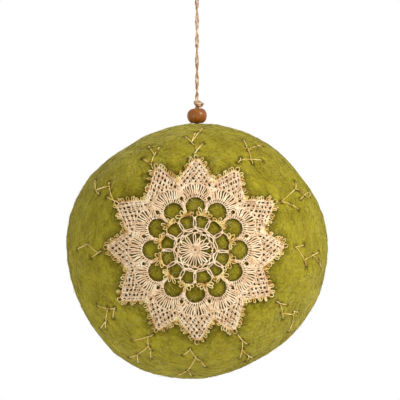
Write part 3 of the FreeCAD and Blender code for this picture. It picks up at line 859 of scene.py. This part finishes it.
# The stitched sprigs, point by point in the photograph's pixels.
SPRIGS = {
    "sprig_01": [
        [(194, 154.4), (203.4, 143.2)],
        [(197.4, 150.4), (191.6, 142.3), (184.5, 136.5)],
        [(191.6, 142.3), (199.4, 132), (203, 128)],
        [(191.6, 142.3), (195.8, 132)],
    ],
    "sprig_02": [
        [(237.8, 162.9), (240.4, 160.2), (251.2, 159.7), (262.5, 160.6)],
        [(240.4, 160.2), (240.4, 157.5)],
        [(252.7, 163.8), (251.2, 159.7), (248.5, 150.4), (246.7, 146.8), (242.7, 139.6)],
        [(248.5, 150.4), (256.3, 146.3), (263.4, 146.3)],
    ],
    "sprig_03": [
        [(281.3, 201.8), (295.6, 188.8), (295.2, 181.3)],
        [(281.3, 201.8), (290.7, 204.5), (298.8, 209.8)],
        [(295.6, 188.8), (299.2, 190.6), (303.7, 195.5), (300.5, 199.1)],
        [(303.7, 195.5), (308.6, 192), (309.9, 196.4)],
    ],
    "sprig_04": [
        [(304.3, 244.9), (295.8, 247), (304.3, 259.8), (306.1, 266.3)],
        [(304.3, 259.8), (312.8, 255.2), (319, 251.8)],
        [(312.8, 255.2), (318.1, 261), (321.3, 268)],
    ],
    "sprig_05": [
        [(276.8, 301.4), (280.8, 303.7), (287.5, 304.8)],
        [(280.6, 304.5), (282.1, 313), (283, 318.8)],
        [(282.1, 313), (292.9, 314.4), (294.6, 311.3), (298.7, 312.1)],
        [(292.9, 314.4), (293.3, 320.2), (288, 332)],
    ],
    "sprig_06": [
        [(237.8, 334.5), (242.3, 340.5), (247.6, 344.4)],
        [(242.3, 340.5), (242.1, 349.3), (239.6, 358.6)],
        [(242.1, 349.6), (247.6, 355), (253, 358)],
        [(249, 356.6), (245.6, 361.6)],
    ],
    "sprig_07": [
        [(182.5, 355.8), (190.1, 349.1), (195.9, 357.7), (201, 360.6), (205.7, 367.3)],
        [(195.9, 357.7), (188.2, 370.1), (177.7, 374.9)],
        [(188.2, 370.1), (192.1, 376.4)],
    ],
    "sprig_08": [
        [(153.3, 334.7), (148, 336.7), (131.8, 340.5)],
        [(148, 336.7), (148.5, 346.2), (150.9, 350), (150.9, 358.7)],
        [(148.5, 346.2), (137.5, 354.8), (128.4, 357.2)],
        [(137.5, 354.8), (138.5, 363.4)],
    ],
    "sprig_09": [
        [(114.5, 308.4), (107.8, 308.4), (96.8, 305)],
        [(114.5, 308.4), (113.1, 318.5)],
        [(107.8, 308.4), (105.9, 321.3), (100.2, 329)],
        [(105.9, 321.3), (105.9, 329)],
    ],
    "sprig_10": [
        [(77, 249.5), (87.7, 244), (98.4, 253), (101, 251)],
        [(98.4, 253), (91, 258)],
    ],
    "sprig_11": [
        [(117.1, 202.1), (113.6, 200.4), (106.4, 196.8)],
        [(113.6, 200.4), (110, 191.4), (109.1, 181.6)],
        [(109.1, 186.1), (95.7, 190.5), (99.3, 194.1)],
        [(95.7, 190.5), (95.7, 179.8)],
    ],
    "sprig_12": [
        [(152.9, 168.7), (151.1, 164.2), (142.1, 158.4)],
        [(151.1, 164.2), (154.6, 154.8), (160, 146.8)],
        [(154.6, 154.8), (150.2, 148.6), (148, 145.9)],
    ],
}
STITCH_PLY = 0.13
STITCH_SWING = 0.11


def stitch(strands, start, stop):
    """One straight stitch of two gold plies: it comes up out of the felt and goes down into it."""
    long = math.dist(start, stop)
    count = max(4, round(long * 1.2))
    phase = hand.uniform(0, 6)
    for ply in (0, math.pi):
        points = []
        for step in range(count + 1):
            share = step / count
            px = start[0] + (stop[0] - start[0]) * share
            py = start[1] + (stop[1] - start[1]) * share
            rise = 0.26 - 0.75 * abs(2 * share - 1) ** 7
            turn = phase + ply + step * 1.5
            side = STITCH_SWING * math.cos(turn) / PIXEL_MM
            px += side * (stop[1] - start[1]) / long
            py -= side * (stop[0] - start[0]) / long
            points.append(on_felt(px, py, rise + 0.13 * math.sin(turn)))
        strands.append((points, [STITCH_PLY] * len(points), 0))


# The twisted hanging cord, one thread from the knot up, over the top loop and back down, in mm.

STRAND = 0.9
STRAND_GAP = 0.06
KNOT_TOP = -82.05
LOOP_FOOT = -24.0
LOOP_RISE = -18.0
LOOP_SHOULDER = (-3.66, -1.97)
LOOP_CROWN = (-1.59, 0.45)
CORD_TURNS = 3.5
POINTS_PER_TURN = 12


def cord_route():
    """The cord's control points in metres: the two legs are wound about each other."""
    reach = (STRAND + STRAND_GAP) / 2
    count = round(CORD_TURNS * POINTS_PER_TURN)
    leg = []
    for step in range(count + 1):
        share = step / count
        turn = math.pi + 2 * math.pi * CORD_TURNS * (share - 1)
        height = KNOT_TOP + (LOOP_FOOT - KNOT_TOP) * share
        leg.append((reach * math.cos(turn), reach * math.sin(turn), height))
    left = [
        (-reach, 0, LOOP_RISE),
        (LOOP_SHOULDER[0], 0, LOOP_SHOULDER[1]),
        (LOOP_CROWN[0], 0, LOOP_CROWN[1]),
    ]
    right = [(-x, y, z) for x, y, z in left[::-1]]
    back = [(-x, -y, z) for x, y, z in leg[::-1]]
    return [Vector(spot) * MM for spot in leg + left + right + back]


def plies(path, lay_mm, offset, radius_pair, side_axis):
    """Two plies, one of cotton and one of gold, twisted round a path once in every lay_mm."""
    strands = []
    for number, phase, radius in ((0, 0.0, radius_pair[0]), (1, math.pi, radius_pair[1])):
        points = []
        run = 0.0
        for index, place in enumerate(path):
            before = path[max(0, index - 1)]
            after = path[min(len(path) - 1, index + 1)]
            run += (place - before).length
            along = (after - before).normalized()
            side = (side_axis - along * side_axis.dot(along)).normalized()
            front = along.cross(side)
            turn = phase + 2 * math.pi * run / (lay_mm * MM)
            points.append(place + (side * math.sin(turn) + front * math.cos(turn)) * offset * MM)
        strands.append((points, [radius] * len(points), number))
    return strands


def make_cord():
    path = spline_path("cord_line", cord_route(), 3)
    strands = plies(path, 5.2, 0.19, (0.27, 0.23), Vector((0, 1, 0)))
    mesh = thread_mesh("hanging_cord_strands", strands, 6, 1)
    piece = add_piece(mesh, "twisted_cord", [cord_cotton, gilt], "hanging_cord", "cord_top_loop")


# The knot on the bead: the doubled cord goes once round itself. Each strand is a name, how far its plies
# stand off its line, and its points, in mm.
KNOT_STRANDS = [
    ("knot_wrap", 0.27, [
        (0.3, -0.2, -82.1), (-0.5, -0.6, -82.2), (-1.0, -0.3, -82.7), (-0.9, 0.4, -83.3),
        (-0.1, 1.0, -83.7), (1.1, 1.1, -84.0), (2.2, 0.5, -84.1), (2.5, -0.3, -83.6),
        (2.0, -1.0, -83.0), (1.0, -1.2, -82.6), (0.2, -0.8, -82.4), (-0.3, 0.2, -82.6),
    ]),
    ("knot_under", 0.25, [
        (0.1, 0.3, -82.2), (-0.7, -0.2, -82.8), (-0.5, -0.9, -83.3), (0.4, -1.2, -83.6),
        (1.3, -1.0, -84.1), (1.6, -0.3, -84.5), (0.9, 0.3, -84.6), (0.2, 0.1, -84.7),
        (0.1, 0.0, -85.2),
    ]),
    ("knot_back", 0.25, [
        (-0.3, 0.2, -82.3), (-0.9, 0.5, -83.2), (-0.4, 0.3, -84.1), (0.0, -0.3, -84.4),
        (-0.1, -0.2, -85.2),
    ]),
]


def make_knot():
    strands = []
    for name, offset, route in KNOT_STRANDS:
        path = spline_path(name, [Vector(spot) * MM for spot in route], 5)
        strands += plies(path, 5.0, offset, (0.34, 0.26), Vector((0.2, 0.3, 1)).normalized())
    mesh = thread_mesh("cord_knot_strands", strands, 8, 1)
    add_piece(mesh, "twisted_cord", [cord_cotton, gilt], "cord_knot")


BEAD_RADIUS = 4.15
BEAD_HALF_HEIGHT = 3.15
BEAD_BORE = 1.03
BEAD_LAND = 1.6
BEAD_MIDDLE = -88.4
BORE_BEVEL = 0.25


def make_bead():
    """The turned bead: a barrel profile spun round its bore."""
    high = BEAD_HALF_HEIGHT
    lip = BEAD_BORE + BORE_BEVEL
    profile = [(BEAD_BORE, BORE_BEVEL - high), (lip, -high)]
    for step in range(15):
        lean = math.radians(-90 + 180 * step / 14)
        bulge = max(0.0, math.cos(lean)) ** 0.9
        profile.append((BEAD_LAND + (BEAD_RADIUS - BEAD_LAND) * bulge, high * math.sin(lean)))
    profile += [(lip, high), (BEAD_BORE, high - BORE_BEVEL), (BEAD_BORE, BORE_BEVEL - high)]
    bead = bmesh.new()
    ring = [bead.verts.new(Vector((x, 0, z + BEAD_MIDDLE)) * MM) for x, z in profile]
    edges = [bead.edges.new(pair) for pair in zip(ring, ring[1:])]
    bmesh.ops.spin(
        bead, geom=ring + edges, cent=(0, 0, 0), axis=(0, 0, 1), steps=64,
        angle=math.radians(360), use_merge=True,
    )
    bmesh.ops.remove_doubles(bead, verts=bead.verts, dist=0.000005)
    bmesh.ops.recalc_face_normals(bead, faces=bead.faces)
    add_piece(finished_mesh(bead, "wooden_bead_turned"), "lacquered_wood", [wood], "wooden_bead")


def random_way(source):
    """A random direction, evenly spread."""
    height = source.uniform(-1, 1)
    turn = source.uniform(0, 2 * math.pi)
    flat = math.sqrt(1 - height * height)
    return Vector((flat * math.cos(turn), flat * math.sin(turn), height))


def wool_fibres(name, material, count, seed, radius, length, high, stray):
    """Single wool fibres that lie curled on the ball, with some ends that stand off it, sizes in mm."""
    source = random.Random(seed)
    strands = []
    for _ in range(count):
        way = random_way(source)
        side = way.cross(random_way(source)).normalized()
        bend = way.cross(side)
        long = source.uniform(*length) * MM / BALL_RADIUS
        curl = source.uniform(-0.6, 0.6)
        lift = source.uniform(0.0, high)
        loose_end = source.uniform(0.1, stray) if source.random() < 0.3 else -0.1
        points = []
        for step in range(6):
            share = step / 5 - 0.5
            spot = way + side * share * long + bend * curl * long * (share * share * 4 - 0.3)
            spot.normalize()
            rise = lift + (loose_end if step == 0 else -0.15 if step == 5 else 0.05)
            points.append(spot * (BALL_RADIUS + lumps(spot) + rise * MM) + BALL_CENTRE)
        strands.append((points, [radius * 0.5] + [radius] * 4 + [radius * 0.5], 0))
    add_piece(thread_mesh(name, strands, 4, 1), "green_felt", [material])


def make_lace():
    lace = [
        ("doily_rosette_crochet", rosette, "ecru_thread", cotton, "doily_rosette"),
        ("doily_gold_ring_crochet", gold_ring, "gold_thread", pale_gilt, "doily_gold_ring"),
        ("doily_petals_crochet", petal_ring, "ecru_thread", cotton, "doily_petal_ring"),
        ("doily_edging_crochet", gold_edging, "gold_thread", pale_gilt, "doily_gold_edging"),
    ]
    for name, threads, slot, material, stands_for in lace:
        add_piece(thread_mesh(name, threads()), slot, [material], stands_for)


def make_sprigs():
    """Sews the sprigs, and gives the holes that their stitches make in the felt."""
    holes = []
    for name, chains in SPRIGS.items():
        strands = []
        for chain in chains:
            holes += [on_felt(*spot, 0) for spot in chain]
            for start, stop in zip(chain, chain[1:]):
                stitch(strands, start, stop)
        add_piece(thread_mesh(name + "_stitches", strands, 6, 2), "gold_thread", [gilt], name)
    return holes


def make_ball(holes):
    ball = add_piece(felt_mesh(holes), "green_felt", [wool], "felt_ball")
    wool_fibres(
        "felt_dark_fibres", dark_wool, count=2600, seed=3,
        radius=0.055, length=(4, 10), high=0.02, stray=0.1,
    )
    wool_fibres(
        "felt_light_fibres", loose_wool, count=3600, seed=4,
        radius=0.055, length=(4, 12), high=0.1, stray=0.8,
    )
    wool_fibres(
        "felt_pale_fibres", pale_wool, count=650, seed=5,
        radius=0.06, length=(5, 16), high=0.14, stray=0.8,
    )


def dress_tail():
    """The cord's tail keeps its CAD mesh inside the bead, in the cord's cotton."""
    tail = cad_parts["cord_tail"]
    tail.data.materials.clear()
    tail.data.materials.append(cord_cotton)


# The stage, in metres: a pale floor below the ball, white all round for the camera, and soft light.

FLOOR_HEIGHT = -0.27
FLOOR_RADIUS = 0.7
FADE_START = 0.25
FADE_END = 0.68
FLOOR_GLOW = 0.62


def looked_at(material):
    """One for camera, glossy and transmission rays, nought for the rays that only carry light."""
    rays = node(material, "ShaderNodeLightPath").outputs
    shiny = node(
        material, "ShaderNodeMath", [(0, rays["Is Glossy Ray"]), (1, rays["Is Transmission Ray"])],
        operation="MAXIMUM",
    )
    either = node(
        material, "ShaderNodeMath", [(0, rays["Is Camera Ray"]), (1, shiny.outputs["Value"])],
        operation="MAXIMUM",
    )
    return either.outputs["Value"]


def white_paper():
    """Matt white paper: takes a soft shadow, glows to the camera's white, and fades out at its rim."""
    material = new_material("matt_white_paper")
    place = node(material, "ShaderNodeTexCoord").outputs["Object"]
    flat = node(material, "ShaderNodeVectorMath", [(0, place), (1, (1, 1, 0))], operation="MULTIPLY")
    away = node(material, "ShaderNodeVectorMath", [(0, flat.outputs["Vector"])], operation="LENGTH")
    fade = node(
        material, "ShaderNodeMapRange", [("Value", away.outputs["Value"])],
        From_Min=FADE_START, From_Max=FADE_END,
    )
    grain = node(material, "ShaderNodeTexNoise", [("Vector", place)], Scale=per_metre(1.5), Detail=2.0)
    colour = node(
        material, "ShaderNodeValToRGB", [("Fac", grain.outputs["Fac"])],
        [(0.3, "f2f2f0"), (0.7, "f8f8f7")],
    )
    paper = node(material, "ShaderNodeBsdfDiffuse", [("Color", colour.outputs["Color"])])
    seen = node(
        material, "ShaderNodeMath", [(0, looked_at(material)), (1, FLOOR_GLOW)], operation="MULTIPLY"
    )
    glow = node(material, "ShaderNodeEmission", Strength=1.0)
    lit = node(
        material, "ShaderNodeMixShader",
        [(0, seen.outputs["Value"]), (1, paper.outputs["BSDF"]), (2, glow.outputs["Emission"])],
    )
    clear = node(material, "ShaderNodeBsdfTransparent")
    mixed = node(
        material, "ShaderNodeMixShader",
        [(0, fade.outputs["Result"]), (1, lit.outputs["Shader"]), (2, clear.outputs["BSDF"])],
    )
    node(material, "ShaderNodeOutputMaterial", [("Surface", mixed.outputs["Shader"])])
    return material


def make_floor():
    disc = bmesh.new()
    bmesh.ops.create_circle(disc, cap_ends=True, segments=96, radius=FLOOR_RADIUS)
    bmesh.ops.translate(disc, verts=disc.verts, vec=(0, 0, FLOOR_HEIGHT))
    mesh = finished_mesh(disc, "studio_floor")
    floor = bpy.data.objects.new("studio_floor", mesh)
    bpy.context.scene.collection.objects.link(floor)
    mesh.materials.append(white_paper())


def soft_lamp(name, place, size, watts):
    lamp = bpy.data.lights.new(name, "AREA")
    lamp.shape = "DISK"
    lamp.size = size
    lamp.energy = watts
    holder = bpy.data.objects.new(name, lamp)
    holder.location = place
    aim = BALL_CENTRE - Vector(place)
    holder.rotation_euler = aim.to_track_quat("-Z", "Y").to_euler()
    bpy.context.scene.collection.objects.link(holder)


def light_room():
    world = bpy.data.worlds.new("white_room")
    bpy.context.scene.world = world
    world.use_nodes = True
    world.node_tree.nodes.clear()
    room = node(world, "ShaderNodeBackground", Strength=0.47, Color=linear("fbfaf7"))
    white = node(world, "ShaderNodeBackground", Strength=1.0, Color=linear("ffffff"))
    either = node(
        world, "ShaderNodeMixShader",
        [(0, looked_at(world)), (1, room.outputs["Background"]), (2, white.outputs["Background"])],
    )
    node(world, "ShaderNodeOutputWorld", [("Surface", either.outputs["Shader"])])
    soft_lamp("key_softbox", (0.86, -0.68, 0.47), size=0.22, watts=12.6)
    soft_lamp("fill_softbox", (-0.75, -1.0, -0.3), size=0.8, watts=5.6)
    soft_lamp("back_softbox", (-0.3, 1.5, 0.5), size=0.8, watts=11)


set_camera()
make_lace()
stitch_holes = make_sprigs()
make_ball(stitch_holes)
make_cord()
make_knot()
make_bead()
dress_tail()
make_floor()
light_room()
bpy.context.scene.view_settings.view_transform = "Standard"
